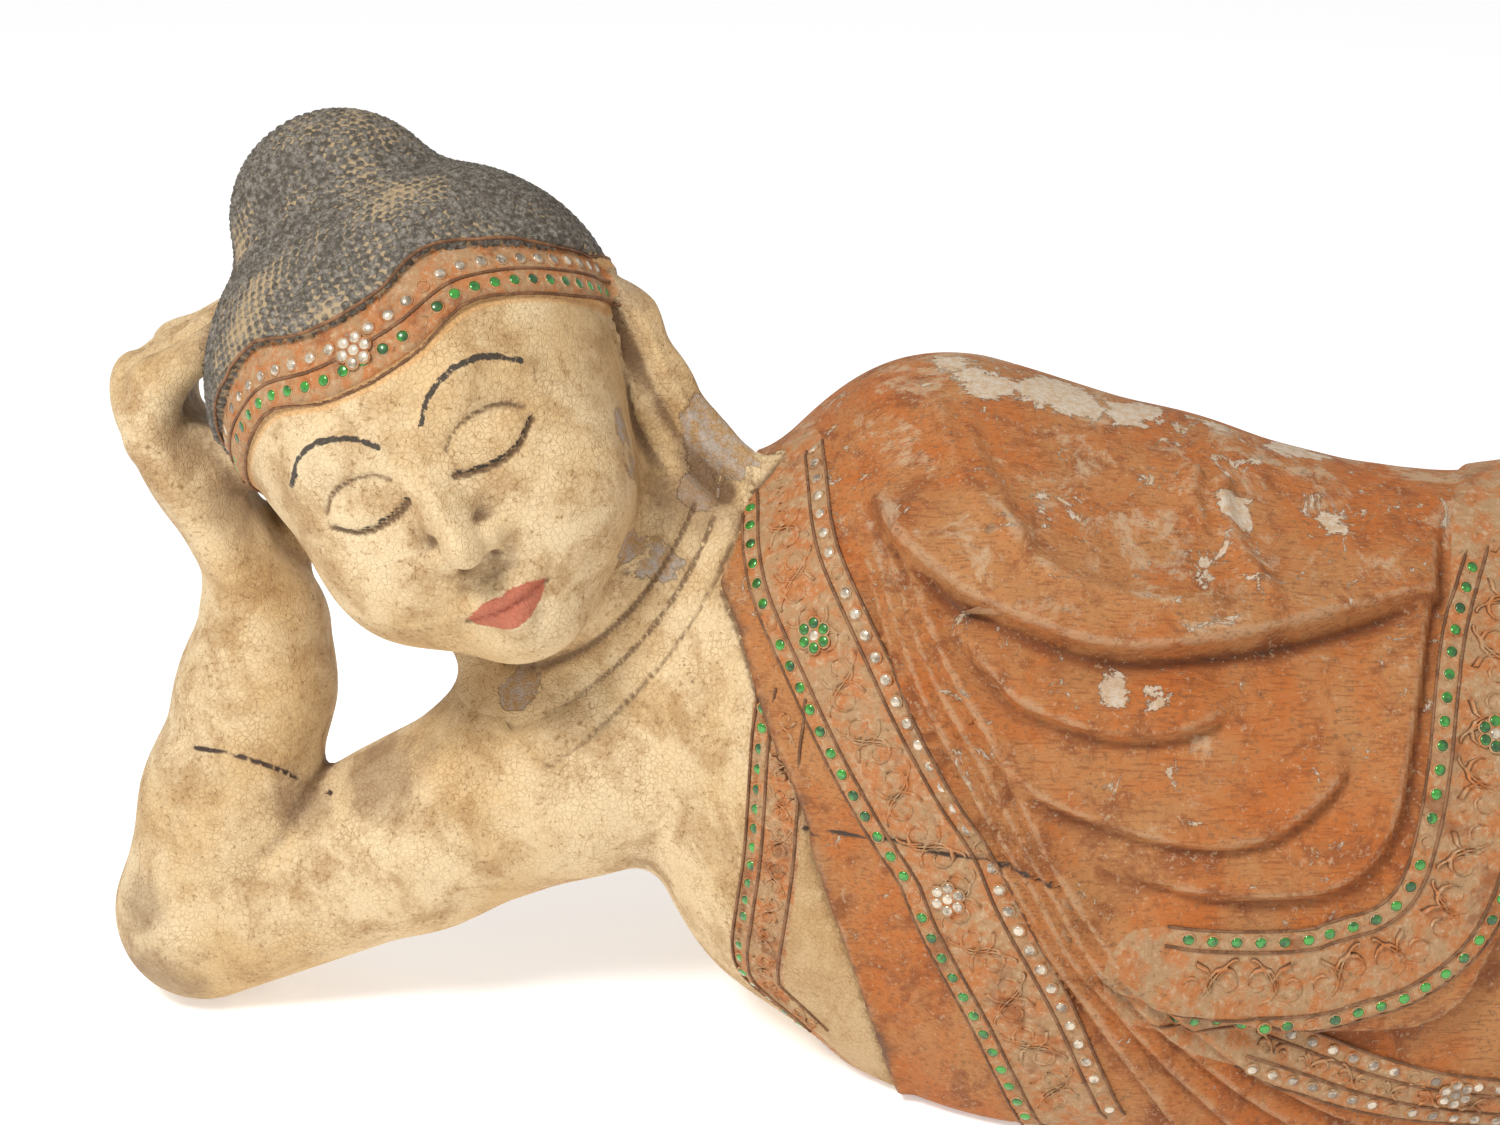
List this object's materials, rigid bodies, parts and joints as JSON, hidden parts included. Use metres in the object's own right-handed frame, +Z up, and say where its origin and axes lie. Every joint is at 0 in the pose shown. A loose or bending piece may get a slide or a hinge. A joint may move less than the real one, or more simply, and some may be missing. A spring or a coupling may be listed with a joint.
{
  "type": "reclining buddha statue",
  "caption": "Carved and painted wooden figure lying on its side, head propped on one hand, in a draped robe with raised bands and glass inlay",
  "frame": {"origin": "on the ground plane, under the middle of the bounding box", "axes": "+X from the head end to the feet, -Y the side that the chest and face look to, +Z up from the ground"},
  "size_m": [1.604, 0.3324, 0.4647],
  "materials": {
    "painted_wood": "old matte paint, cream skin and terracotta robe",
    "green_glass": "polished, silvered behind",
    "clear_glass": "polished, silvered behind"
  },
  "bodies": {
    "root": {"reclining_figure": "painted_wood", "glass_flower_chest_upper": "green_glass", "glass_flower_chest_lower": "clear_glass", "glass_flower_shawl": "green_glass", "glass_flower_skirt": "clear_glass", "glass_flower_headband": "clear_glass"}
  },
  "joints": []
}
